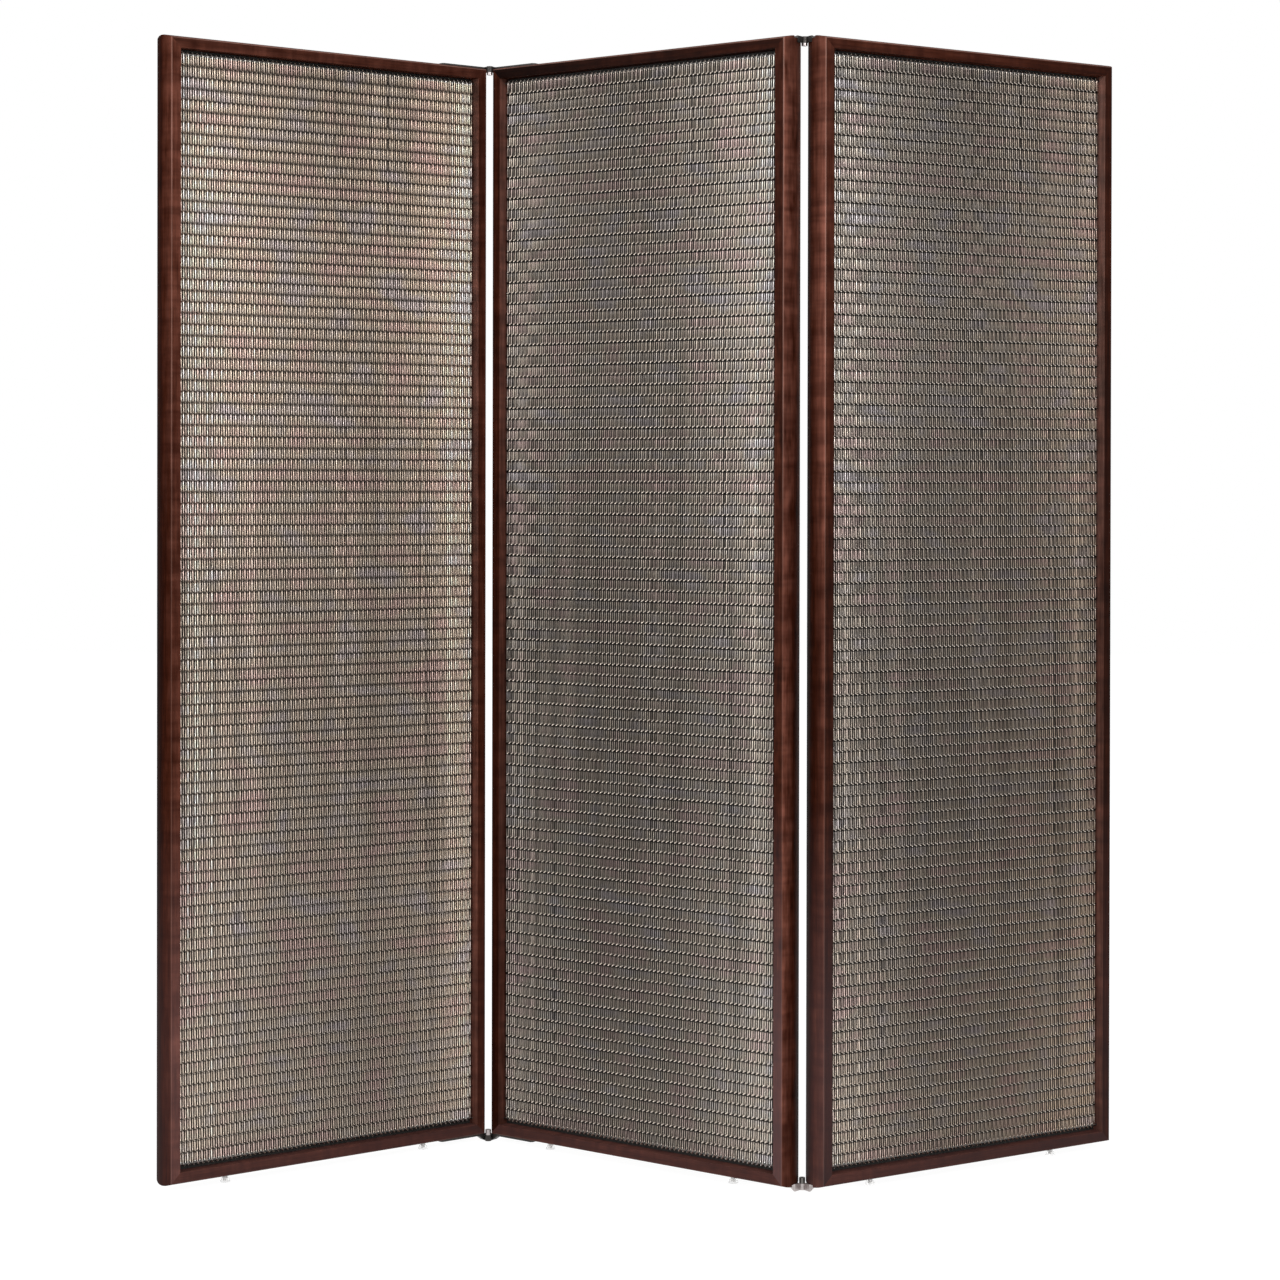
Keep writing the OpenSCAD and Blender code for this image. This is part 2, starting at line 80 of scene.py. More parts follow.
def stand_panel(points, panel):
    """Takes points from a panel's own frame to the room: subtract the pivot, turn about the vertical
    by the panel's angle, add the hinge axis, and lift by the height of the lower arris."""
    place = PANELS[panel]
    angle = math.radians(place["turn"])
    x = points[..., 0] - place["pivot"][0]
    y = points[..., 1] - place["pivot"][1]
    stood = np.empty_like(points)
    stood[..., 0] = math.cos(angle) * x - math.sin(angle) * y + place["axis"][0]
    stood[..., 1] = math.sin(angle) * x + math.cos(angle) * y + place["axis"][1]
    stood[..., 2] = points[..., 2] + ARRIS_Z
    return stood


def panel_offset(panel):
    """The shift that, after a turn back by the panel's angle, takes a point of the room to the panel's own
    frame: the pivot less the turned hinge axis, less the height of the lower arris."""
    place = PANELS[panel]
    angle = math.radians(-place["turn"])
    x, y = place["axis"]
    return (place["pivot"][0] - math.cos(angle) * x + math.sin(angle) * y,
            place["pivot"][1] - math.sin(angle) * x - math.cos(angle) * y, -ARRIS_Z)


print("hinge axes", left_axis, right_axis)
print("offset of the centre panel", panel_offset("centre"))


# %% [markdown]
# ## One row of the coil mesh
# A row is one flat wire wound round two cross rods. Seen from the front a turn is an upright leg, a bend
# back over the upper rod, a second leg further on, and a bend forward under the lower rod. A modelled
# spring with a round section would need hundreds of faces a turn, and there are nearly forty thousand
# turns. Six stations a turn and a four-sided wire keep the shape at 48 triangles, and smooth shading rounds
# the wire. Rows alternate by half a turn, so two neighbours wind round their shared rod like two threads of
# one screw. The rear leg stands a quarter of a turn on. From the room, at the angle of the panels, its
# depth adds another quarter, and front and rear legs read as one even row of stripes.

# %% The wire's centre line
# Half the wire's width and thickness, how far legs and bends reach from their rod, and how many turns
# further on the rear leg stands
WIRE_WIDE, WIRE_THICK = 0.0016, 0.0007
LEG_DEEP, BEND_RISE, END_RISE = 0.0014, 0.0017, 0.0036
REAR_LEG = {"left": 0.295, "centre": 0.245, "right": 0.23}
TURNS = 65


def turn_pitch(panel):
    """Length of a turn: the row's length less one full wire width, over the turns from first to last leg."""
    return (MESH_LENGTH - 2 * WIRE_WIDE) / (TURNS + 0.5 - REAR_LEG[panel])


# Along the row in turns and in rear legs, through the depth in leg depths, up in rows and in bend rises
ALONG = np.array([0.0, 0.0, 0.0, 0.0, 0.0, 0.5])
TO_REAR = np.array([0.0, 0.0, 0.5, 1.0, 1.0, 0.5])
DEEP = np.array([-1.0, -1.0, 0.0, 1.0, 1.0, 0.0])
LEVEL = np.array([0.0, 1.0, 1.0, 1.0, 0.0, 0.0])
RISE = np.array([0.3, -0.3, 1.0, -0.3, 0.3, -1.0])
STATIONS = len(ALONG)


def coil_rows(first_row, row_count, face, panel):
    """Centre lines of several rows as an array (row, station, xyz). Station s of turn t lies at
    x = (t + along[s] + to_rear[s] rear legs + half a turn on odd rows) pitches, y = mesh middle + deep[s] leg
    depths and z = lower rod + level[s] row pitches + rise[s] bend rises. Odd rows start with a rear leg and
    even rows end with a front leg, so both reach both sides. The bends round the two end rods are taller and
    nearly reach the rails. lean -1 winds the wire the other way, and the back face is the front face turned
    half round."""
    rear, lean = REAR_LEG[panel], PANELS[panel]["lean"]
    rows = np.arange(first_row, first_row + row_count)[:, None]
    odd = rows % 2
    station = np.arange(TURNS * STATIONS + 2)[None, :] + STATIONS // 2 * odd
    turn, step = station // STATIONS - odd, station % STATIONS
    along = turn + ALONG[step] + TO_REAR[step] * rear + 0.5 * odd + 0.5 - rear
    lowest_bend = (rows == 0) & (RISE[step] == -1.0)
    highest_bend = (rows == ROWS - 1) & (RISE[step] == 1.0)
    path = np.empty((*station.shape, 3))
    path[..., 0] = MESH_X0 + WIRE_WIDE + along * turn_pitch(panel)
    path[..., 1] = MESH_Y + DEEP[step] * LEG_DEEP
    path[..., 2] = (FIRST_ROD_Z + (rows + LEVEL[step]) * ROW_PITCH
                    + RISE[step] * np.where(lowest_bend | highest_bend, END_RISE, BEND_RISE))
    if lean < 0:
        path[..., 0] = WIDTH - path[..., 0]
    if face == "back":
        path[..., 0] = WIDTH - path[..., 0]
        path[..., 1] = DEPTH - path[..., 1]
    return path


print("millimetres a turn:", {panel: round(1000 * turn_pitch(panel), 2) for panel in PANELS})
print("stations of one row:", coil_rows(0, 1, "front", "left").shape)


# %% [markdown]
# ## From a centre line to a wire
# A diamond of four points is carried along the line. Its first axis is the x axis with the part along the
# wire taken away, so it never twists, and its second axis is square to both. The two cut ends get a face,
# so that every wire is closed.

# %% Sweep a four-sided wire along the lines
def sweep_wire(path):
    """Surface points of the wire: centre + wide * cos a * side + thick * sin a * up at four angles a, where
    side is x minus its part along the tangent and up is tangent x side. Returns the points and the faces."""
    rows, stations, _ = path.shape
    tangent = np.empty_like(path)
    tangent[:, 1:-1] = path[:, 2:] - path[:, :-2]
    tangent[:, 0] = path[:, 1] - path[:, 0]
    tangent[:, -1] = path[:, -1] - path[:, -2]
    tangent /= np.linalg.norm(tangent, axis=-1, keepdims=True)
    side = np.array([1.0, 0.0, 0.0]) - tangent * tangent[..., :1]
    side /= np.linalg.norm(side, axis=-1, keepdims=True)
    up = np.cross(tangent, side)
    angle = np.radians([0, 90, 180, 270])
    points = (path[..., None, :] + WIRE_WIDE * np.cos(angle)[:, None] * side[..., None, :]
              + WIRE_THICK * np.sin(angle)[:, None] * up[..., None, :])
    index = np.arange(rows * stations * 4).reshape(rows, stations, 4)
    a, b = index[:, :-1], index[:, 1:]
    walls = np.stack([a, np.roll(a, -1, 2), np.roll(b, -1, 2), b], axis=-1).reshape(-1, 4)
    starts, ends = index[:, 0, ::-1], index[:, -1]
    return points.reshape(-1, 3), np.concatenate([walls, starts, ends])


def volume(points, faces):
    """Volume inside the faces: a sixth of the sum of a . (b x c) over their triangles. It is positive when
    the faces look outward."""
    a, b, c, d = (points[faces[:, k]] for k in range(4))
    return float((a * (np.cross(b, c) + np.cross(c, d))).sum() / 6)


def quad_piece(name, points, faces, body, finish):
    """Puts arrays of points and four-cornered faces into a smooth mesh and lets it ride on a body."""
    mesh = bpy.data.meshes.new(name)
    mesh.vertices.add(len(points))
    mesh.vertices.foreach_set("co", points.astype(np.float32).ravel())
    mesh.loops.add(faces.size)
    mesh.loops.foreach_set("vertex_index", faces.astype(np.int32).ravel())
    mesh.polygons.add(len(faces))
    mesh.polygons.foreach_set("loop_start", np.arange(0, faces.size, 4, dtype=np.int32))
    mesh.polygons.foreach_set("use_smooth", np.ones(len(faces), dtype=bool))
    mesh.update(calc_edges=True)
    mesh.validate()
    piece = bpy.data.objects.new(name, mesh)
    bpy.context.scene.collection.objects.link(piece)
    mesh.materials.append(finish)
    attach(piece, body)
    return piece


row_points, row_faces = sweep_wire(coil_rows(0, 1, "front", "left"))
print("one row:", 2 * len(row_faces), "triangles,",
      round(volume(row_points, row_faces) * 1e6, 2), "cm3 of wire")


# %% [markdown]
# ## Writing a material as arithmetic
# A pattern is a formula, so it reads best as one. `Val` wraps a socket, and its operators add the Math
# nodes. `Nodes` adds any other node to a tree by type, settings and inputs, and `Finish` is the tree of one
# material. A Math node would turn a colour grey, so colours only go through `mix`, `scale` and `add`.

# %% A number that varies over a surface
class Val:
    """A number that varies over a surface. Arithmetic on it adds Math nodes to its tree."""

    def __init__(self, nodes, socket):
        self.nodes, self.socket = nodes, socket

    def math(self, operation, *values):
        return self.nodes.node("ShaderNodeMath", {"operation": operation}, dict(enumerate(values)))

    def __add__(self, other):
        return self.math("ADD", self, other)

    def __sub__(self, other):
        return self.math("SUBTRACT", self, other)

    def __rsub__(self, other):
        return self.math("SUBTRACT", other, self)

    def __mul__(self, other):
        return self.math("MULTIPLY", self, other)

    def __truediv__(self, other):
        return self.math("DIVIDE", self, other)

    def __pow__(self, other):
        return self.math("POWER", self, other)

    __radd__, __rmul__ = __add__, __mul__

    def sine(self):
        return self.math("SINE", self)

    def floor(self):
        return self.math("FLOOR", self)

    def bounce(self, span):
        """Runs up to span and back down again, over and over."""
        return self.math("PINGPONG", self, span)

    def far_from(self, place):
        """Distance from a place, to either side of it."""
        return self.math("ABSOLUTE", self - place)

    def at_least(self, least):
        return self.math("MAXIMUM", self, least)

    def brightness(self):
        """The brightness of a colour, as one number."""
        return self.nodes.node("ShaderNodeRGBToBW", {}, {0: self})

    def clamp(self):
        """The same number, kept between 0 and 1."""
        return self.nodes.node("ShaderNodeClamp", {}, {0: self})

    def climb(self, start, span):
        """0 up to start, 1 from start + span on, and a straight slope between: (self - start) / span."""
        return ((self - start) / span).clamp()

    def near_zero(self, peak, fall):
        """1 close to 0 and 0 far from it, to both sides: peak - fall * distance, between 0 and 1."""
        return (peak - self.far_from(0.0) * fall).clamp()


print("a number knows", ", ".join(word for word in vars(Val) if not word.startswith("_")))


# %% A tree of nodes
class Nodes:
    """The node tree of a material or of the world."""

    def __init__(self, tree):
        self.tree = tree

    def node(self, kind, settings, inputs, output=0):
        """Adds a node of this kind: settings first, then the values or links of its sockets."""
        node = self.tree.nodes.new(kind)
        for key, value in settings.items():
            if key == "stops":
                self.set_stops(node.color_ramp, value)
            else:
                setattr(node, key, value)
        for key, value in inputs.items():
            if isinstance(value, Val):
                self.tree.links.new(value.socket, node.inputs[key])
            else:
                node.inputs[key].default_value = value
        return Val(self, node.outputs[output])

    @staticmethod
    def set_stops(ramp, stops):
        """Gives a ramp its stops (place, colour)."""
        while len(ramp.elements) < len(stops):
            ramp.elements.new(0.5)
        for element, (place, colour) in zip(ramp.elements, stops):
            element.position = place
            element.color = (*colour, 1.0)

    def parts(self, vector):
        """The x, y and z of a vector."""
        split = self.node("ShaderNodeSeparateXYZ", {}, {0: vector}).socket.node
        return [Val(self, output) for output in split.outputs]


print("a tree knows", ", ".join(word for word in vars(Nodes) if not word.startswith("_")))


# %% One material
class Finish(Nodes):
    """One material: its node tree and its main shader."""

    def __init__(self, name, roughness=0.5, metallic=0.0, colour=(0.5, 0.5, 0.5), **constants):
        self.material = bpy.data.materials.new(name)
        self.material.use_nodes = True
        super().__init__(self.material.node_tree)
        self.shader = self.tree.nodes["Principled BSDF"]
        self.shader.inputs["Base Color"].default_value = (*colour, 1.0)
        self.shader.inputs["Roughness"].default_value = roughness
        self.shader.inputs["Metallic"].default_value = metallic
        for socket, value in constants.items():
            self.shader.inputs[socket.replace("_", " ")].default_value = value

    def place(self, panel=None, scale=(1.0, 1.0, 1.0), shift=(0.0, 0.0, 0.0)):
        """Object coordinates, taken to a panel's own frame if one is named, then stretched and shifted."""
        here = self.node("ShaderNodeTexCoord", {}, {}, "Object")
        if panel:
            here = self.node("ShaderNodeMapping", {}, {
                "Vector": here, "Rotation": (0, 0, math.radians(-PANELS[panel]["turn"])),
                "Location": panel_offset(panel)})
        return self.node("ShaderNodeMapping", {}, {"Vector": here, "Scale": scale, "Location": shift})

    def noise(self, vector, detail=2.0, roughness=0.5):
        """Noise with one cell to each unit of the vector, so the stretch of its place sets its size."""
        return self.node("ShaderNodeTexNoise", {}, {"Vector": vector, "Scale": 1.0, "Detail": detail,
                                                    "Roughness": roughness})

    def ramp(self, value, stops):
        """A colour read off between stops (place, colour)."""
        return self.node("ShaderNodeValToRGB", {"stops": stops}, {"Fac": value})

    def curve(self, value, stops):
        """A number read off straight lines between stops (place, number up to 2). A ramp holds them at half
        their size, as its colours end at 1."""
        return self.ramp(value, [(place, (0.5 * number,) * 3) for place, number in stops]).brightness() * 2.0

    def mix(self, amount, first, second):
        """The first colour at amount 0, the second at amount 1."""
        return self.node("ShaderNodeMix", {"data_type": "RGBA"}, {0: amount, 6: first, 7: second}, 2)

    def scale(self, colour, amount):
        """A colour times a number."""
        return self.node("ShaderNodeVectorMath", {"operation": "SCALE"}, {0: colour, "Scale": amount})

    def add(self, first, second):
        """The sum of two colours."""
        return self.node("ShaderNodeVectorMath", {"operation": "ADD"}, {0: first, 1: second})

    def drive(self, socket, value):
        """Lets a value or colour drive one socket of the main shader."""
        self.tree.links.new(value.socket, self.shader.inputs[socket])

    def bump(self, height, strength, distance):
        """Shades the surface as if the height, times the distance in metres, stood out of it."""
        normal = self.node("ShaderNodeBump", {}, {"Height": height, "Strength": strength,
                                                  "Distance": distance})
        self.drive("Normal", normal)


print("a finish knows", ", ".join(word for word in vars(Finish) if not word.startswith("_")))


# %% [markdown]
# ## Walnut
# The frame is dark walnut under satin lacquer: long fibres along each piece, fine dark pores, slow bands of
# warmer and cooler brown, streaks and flames that lift or sink the tone, and a curl across the grain that
# shows best on the tall stiles. Noise stretched along the grain gives all six. Each piece has the grain along
# its own length, so the mitres show, and a tone of its own, which is painted light: how bright the piece
# stands in the light. A painted highlight runs by the arris. Painted shade deepens on the convex outer side
# towards the back, where it turns from the light. The inner side has a painted tone of its own, lighter where
# it catches the light. The white floor is painted as a reflection in the lacquer of the lowest third, and the
# wire as one in the inner side. Where the painted light lifts the tone above the plain brown, the rest is
# added as a dull brown, so a lighter piece is also a greyer one. A picture of wood would repeat along pieces
# this long. Noise doesn't, and it sits in the panel's own frame, so it turns with the panel.

# %% Tones of the planks
# What each word of a plank's look sets. Where a plank says nothing, it has the plain plank's value.
# face, outer, inner: tone of the faces, of the convex outer side and of the inner side against the mesh, all
# painted light and shade
# top, lift: share by which the faces and the outer side get lighter towards the top
# deep: what the outer side gains at the top, the same from front to back
# tilt: share by which a rail gets lighter from left to right
# haze, outer_haze: painted reflection of the white floor in the lacquer of the lowest third, inside the arris
# and outside it
# glow: painted reflection of the wire in the inner side
# gloss: index of refraction of the lacquer
# figure: strength of the flames
PLAIN_PLANK = dict(outer=1.0, inner=1.0, top=0.15, haze=0.0, outer_haze=0.0, tilt=0.0, lift=0.65, deep=0.0,
                   glow=0.0, gloss=1.12, figure=1.3)
PLANK_TONES = {
    "left_outer_stile": dict(face=2.25, outer=0.76, haze=1.4, outer_haze=0.5, gloss=1.05),
    "left_hinge_stile": dict(face=1.08, inner=2.6, top=0.20, haze=0.2, glow=0.4),
    "left_top_rail": dict(face=1.60, tilt=-0.1),
    "left_bottom_rail": dict(face=1.05, inner=1.7, haze=0.8, tilt=-0.5),
    "centre_left_stile": dict(face=0.78, inner=1.8, top=0.1, glow=0.35),
    "centre_right_stile": dict(face=1.0, outer=1.5, top=0.0, haze=1.9, lift=0.3, deep=0.42, figure=2.3),
    "centre_top_rail": dict(face=0.36, inner=0.4, tilt=1.4),
    "centre_bottom_rail": dict(face=1.05, inner=1.7, haze=0.8),
    "right_hinge_stile": dict(face=0.50, outer=1.0, top=1.8, haze=0.9, outer_haze=1.0, lift=1.3),
    "right_outer_stile": dict(face=0.45, inner=2.4, top=0.5, haze=0.4, glow=0.9),
    "right_top_rail": dict(face=0.95, inner=0.8, tilt=-0.8),
    "right_bottom_rail": dict(face=0.85, inner=1.5, haze=0.8, tilt=-0.8),
}
print(len(PLANK_TONES), "planks, faces from", min(tones["face"] for tones in PLANK_TONES.values()),
      "to", max(tones["face"] for tones in PLANK_TONES.values()))


# %% Colours of the wood, and painted shade of the outer side from front to back
BROWNS = [(0.38, (0.027, 0.0055, 0.0022)), (0.47, (0.045, 0.0098, 0.0042)),
          (0.54, (0.058, 0.0135, 0.0062)), (0.64, (0.088, 0.0235, 0.0125))]
CURL_BROWN, PORE_BROWN = (0.026, 0.0046, 0.0018, 1.0), (0.008, 0.002, 0.001, 1.0)
# The dull brown takes what painted light adds to the tone above the plain brown; the second colour is the
# painted highlight by the arris
DULL_BROWN, ARRIS_HIGHLIGHT = (0.042, 0.0158, 0.0112), (0.16, 0.095, 0.078)
# Painted reflections: the white floor in the lacquer, and the wire in the inner side
FLOOR_REFLECTION, WIRE_REFLECTION = (0.042, 0.027, 0.028), (0.055, 0.052, 0.048)
# Painted shade of the convex outer side, deepening from front to back as it turns from the light
OUTER_SHADE = [(0.02, 1.9), (0.12, 1.6), (0.25, 1.35), (0.45, 0.90), (0.6, 0.55), (0.85, 0.38), (1.0, 0.35)]


def side_tones(finish, look, outer, inner, depth, along, high):
    """Painted light and shade by side: face tone * (1 + top * high + tilt * along) on the faces, the
    painted shade curve of the depth plus deep * high, times (1 + lift * high), on the outer side, and inner
    tone * (1 + high / 2) on the inner side. Depth runs from 0 to 1, along from -0.5 to 0.5, and high is 1
    near the top."""
    face = (1.0 + look["top"] * high + look["tilt"] * along) * look["face"]
    side_shade = finish.curve(depth, OUTER_SHADE)
    edge = (side_shade + look["deep"] * high) * (1.0 + look["lift"] * high) * look["outer"]
    return face + outer * (edge - face) + inner * ((1.0 + 0.5 * high) * look["inner"] - face)


def wood_colour(finish, tone, bands, fibres, curl, pores):
    """Brown = ramp(0.55 bands + 0.45 fibres), darkened by the curl and the pores. It is scaled by the tone
    up to 1. A dull brown, stronger in the bands and weaker in the curl, is added for the rest of the tone."""
    brown = finish.ramp(bands * 0.55 + fibres * 0.45, BROWNS)
    curled = finish.mix(((curl - 0.42) * 4.0).clamp() * 0.6, brown, CURL_BROWN)
    pored = finish.mix(pores * 0.5, curled, PORE_BROWN)
    plain = finish.scale(pored, tone.clamp())
    dull = finish.scale(DULL_BROWN, (tone - tone.clamp()) * (1.1 + 1.5 * bands - 1.9 * curl))
    return finish.add(plain, dull)


# %% Walnut for one piece of a frame
# How far apart the planks lie in the noise, how steeply a side's tone sets in per metre and how early, where
# the painted highlight line runs and how wide it is, and how far up the painted reflection of the floor
# reaches
PLANK_STEP = 1.7
OUTER_STEEP, INNER_STEEP, INNER_EARLY = 4000.0, 6000.0, 0.0005
HIGHLIGHT_INSET, HIGHLIGHT_PEAK, HIGHLIGHT_FALL = 0.0001, 1.5, 1500.0
REFLECTION_TOP, REFLECTION_SPAN = 0.34, 0.22


def walnut(name):
    """The grain axis is z on a stile and the panel's x on a rail. Past is the distance beyond the arris,
    below zero inside it: the outer side starts at 0, and the inner side lies a frame width before it. High
    rises from half the height to 0.8. A painted reflection of the white floor lies over the lowest third, a
    painted highlight runs 0.1 mm inside the arris, and the wire is painted as a reflection on the inner side.
    The last two follow the streaks."""
    panel, upright = name.split("_")[0], name.endswith("stile")
    look = PLAIN_PLANK | PLANK_TONES[name]
    finish = Finish(f"walnut_{name}", roughness=0.45, IOR=look["gloss"])
    plank = PLANK_STEP * (list(PLANK_TONES).index(name) + 1)

    def grain(along, across, detail=2.0, roughness=0.5):
        """Noise with so many cells a metre along and across the grain, from a place of the plank's own."""
        stretch = (across, across, along) if upright else (along, across, across)
        shift = (plank, 0.3 * plank, 1.9 * plank)
        return finish.noise(finish.place(panel, stretch, shift), detail, roughness)

    bands = grain(1.1, 34.0, detail=3.0)
    fibres = grain(6.0, 330.0, detail=4.0, roughness=0.6)
    pores = ((grain(38.0, 1500.0, detail=1.0) - 0.56) * 7.0).clamp()
    curl = grain(62.0, 9.0, roughness=0.55)
    streaks = grain(9.0, 150.0, roughness=0.6)
    flames = grain(24.0, 70.0)

    across, depth, up = finish.parts(finish.place(panel))
    height = up / HEIGHT
    past = across.far_from(WIDTH / 2) - WIDTH / 2 if upright else up.far_from(HEIGHT / 2) - HEIGHT / 2
    outer = (past * OUTER_STEEP).clamp()
    inner = ((-FRAME_WIDE - past + INNER_EARLY) * INNER_STEEP).clamp()
    high = height.climb(0.5, 0.3)
    # The tone by side is painted light and shade, times the streaks and flames of the grain
    tone = (side_tones(finish, look, outer, inner, depth / DEPTH, across / WIDTH - 0.5, high)
            * (1.0 + (streaks - 0.5) * 1.1 + (flames - 0.5) * look["figure"]))

    # Painted reflection of the white floor in the lacquer of the lowest third
    low = ((REFLECTION_TOP - height) / REFLECTION_SPAN).clamp()
    haze = low * (look["haze"] + outer * (look["outer_haze"] - look["haze"]))
    # Painted highlight along the arris, stronger towards the top and following the streaks
    arris = (past + HIGHLIGHT_INSET).near_zero(HIGHLIGHT_PEAK, HIGHLIGHT_FALL)
    arris_highlight = arris * (0.3 + 0.7 * high) * (streaks * 2.0)
    # Painted reflection of the wire on the inner side
    glow = inner * look["glow"] * (0.5 + 0.5 * high) * (streaks * 2.0)
    # Sum of the painted floor reflection and the painted arris highlight
    pale = finish.add(finish.scale(FLOOR_REFLECTION, haze), finish.scale(ARRIS_HIGHLIGHT, arris_highlight))
    finish.drive("Base Color", finish.add(wood_colour(finish, tone, bands, fibres, curl, pores),
                                          finish.add(pale, finish.scale(WIRE_REFLECTION, glow))))
    finish.drive("Roughness", 0.40 + fibres * 0.14)
    finish.bump(fibres * 0.4 - pores * 0.6, 0.35, 0.0002)
    return finish.material


wood = {name: walnut(name) for name in PLANK_TONES}
print("walnut with", len(wood["left_top_rail"].node_tree.nodes), "nodes for each of", len(wood), "pieces")


# %% [markdown]
# ## Tenons and board
# The loose tenons are raw wood that only shows when a mitre is taken apart. The board behind the wire is
# black, a painted shade that reads as depth between the turns. Noise stretched upwards and a ramp of two
# colours are enough for both.

# %% Raw wood of the tenons, and the black board
def tenon_wood():
    """Pale end grain: a ramp over noise stretched along z."""
    finish = Finish("tenon_wood", roughness=0.75)
    grain = finish.noise(finish.place(scale=(160.0, 160.0, 25.0)), detail=3.0)
    finish.drive("Base Color", finish.ramp(grain, [(0.3, (0.42, 0.26, 0.13)), (0.7, (0.62, 0.42, 0.24))]))
    return finish.material


def black_board():
    """Board painted black as the shade behind the wire: almost flat, with a little grey grain up the panel.
    """
    finish = Finish("black_board", roughness=0.7)
    grain = finish.noise(finish.place(scale=(140.0, 140.0, 6.0)), detail=3.0)
    finish.drive("Base Color", finish.ramp(grain, [(0.3, (0.008, 0.007, 0.006)),
                                                   (0.7, (0.020, 0.017, 0.015))]))
    return finish.material


finishes = {"corner_tenons": tenon_wood(), "core_board": black_board()}
print("made", ", ".join(finishes))


# %% [markdown]
# ## Anodised wire
# The wire is champagne aluminium. A curtain like this mirrors the room, so a panel is brightest near its
# stiles and at the top, which is painted reflection, with painted shade just below the top rail. The plain
# tone of the wire differs from panel to panel as painted light. The tone is a formula of the place on the
# panel: one part rises to the left edge, one to the right edge, and one over the height. Legs differ in tone
# where the curtain was pressed, and rows lean to rose, olive or blue. Where two rows meet round a rod, a wavy
# line of painted shade runs across. In it each bend comes forward as a short slanting dash, a painted
# highlight, and where the light strikes the bends from the side, on the centre and right panels, the dashes
# shine. The tall bends round the two end rods stand free of any shade and are painted brighter. In a picture
# of the whole screen the gaps between the bends are finer than a pixel, and their shade comes out too weak,
# so the line and the dashes are worked out from the same turns and rods that the wire follows.

# %% Tones of the curtains
# What each word of a curtain's look sets.
# middle: plain tone, which differs from panel to panel as painted light
# left, right: painted reflection rising towards that edge, and the power of its curve
# top, foot, lintel: painted reflection rising to the top and to the floor, and painted shade just below the
# top rail
# pale, cool: how far the metal turns greyer at the left and right edge, and from floor to top
# grain: difference between single legs
# shade, odd: depth of the painted line of shade, and what it has more at odd rods
# drop, wave: how far the line lies below its rod, and how far it waves, in rows
# dash, low_dash: strength of the dashes, painted highlights on the bends, and what they gain towards the
# floor
WIRE_TONES = {
    "left": dict(middle=0.465, left=(1.12, 3.0), right=(1.45, 6.0), top=0.30, foot=0.0, lintel=0.22,
                 pale=(0.01, -0.02), cool=-0.06, grain=0.8, shade=0.66, odd=0.065, drop=-0.03, wave=0.09,
                 dash=0.08, low_dash=0.42),
    "centre": dict(middle=0.219, left=(1.12, 5.0), right=(2.75, 4.5), top=0.46, foot=0.32, lintel=0.06,
                   pale=(0.10, 0.12), cool=0.0, grain=1.2, shade=0.95, odd=-0.15, drop=0.075, wave=0.03,
                   dash=1.1, low_dash=0.0),
    "right": dict(middle=0.196, left=(2.35, 5.1), right=(1.25, 3.6), top=0.42, foot=0.58, lintel=0.18,
                  pale=(0.09, -0.08), cool=0.08, grain=1.2, shade=0.95, odd=-0.15, drop=0.05, wave=0.03,
                  dash=1.0, low_dash=0.1),
}
print("plain tones", {panel: look["middle"] for panel, look in WIRE_TONES.items()})


# %% Slow tone and hue of a curtain
ANODISED = [(0.33, (0.93, 0.80, 0.775)), (0.43, (0.965, 0.82, 0.70)), (0.50, (0.985, 0.815, 0.655)),
            (0.57, (1.01, 0.795, 0.675)), (0.67, (1.05, 0.765, 0.685))]
LESS_WARM = (0.0, 0.5, 0.8)


def mirrored_room(look, across, height, foot):
    """Sides * heights, a painted reflection of the room. Sides = 1 + left rise * (1 - across)^a + right rise
    * across^b. Heights is 1 at 0.4 of the height and rises smoothly to the top and the floor, less the fall
      in
    the highest seventh, which is painted shade under the top rail."""
    left_rise, left_power = look["left"]
    right_rise, right_power = look["right"]
    sides = 1.0 + (1.0 - across) ** left_power * left_rise + across ** right_power * right_rise
    rise = height.climb(0.42, 0.38)
    heights = (1.0 + rise * rise * (3.0 - 2.0 * rise) * look["top"] + foot * foot * look["foot"]
               - height.climb(0.86, 0.14) * look["lintel"])
    return sides * heights


def leg_tones(finish, panel, grain):
    """Slow patches, plus columns of legs that differ by the grain, and by 2 more where the curtain was
    pressed."""
    columns = finish.noise(finish.place(panel, (235.0, 2.0, 0.7)), detail=1.0)
    dents = finish.noise(finish.place(panel, (21.0, 2.0, 0.5), (5.0, 0.0, 3.0)), detail=1.0)
    pressed = ((dents - 0.5) * 9.0).clamp()
    patches = finish.noise(finish.place(panel, (5.0, 5.0, 3.0), (3.0, 1.0, 2.0)), detail=2.0)
    return 0.85 + 0.3 * patches + (columns - 0.5) * (grain + 2.0 * pressed)


def metal_hue(finish, panel, look, across, height):
    """Noise leans the champagne to olive or blue and to rose. Green and blue are added by pale times the
    square of the nearness of each edge, and by cool times the height above the middle."""
    tint = finish.noise(finish.place(panel, (11.0, 5.0, 16.0), (2.0, 4.0, 1.0)), detail=2.0, roughness=0.6)
    pale = ((1.0 - across) * (1.0 - across) * look["pale"][0] + across * across * look["pale"][1]
            + (height - 0.5) * look["cool"])
    return finish.add(finish.ramp(tint, ANODISED), finish.scale(LESS_WARM, pale))


# %% Lines along the rods
SHADE_PEAK, SHADE_FALL = 1.9, 13.0
DASH_TURN, DASH_LIFT, DASH_SLANT = 0.58, 0.02, 3.0
DASH_GAIN, DASH_CUT = 3.6, 1.6
DASH_PEAK, DASH_FALL = 1.5, 11.0


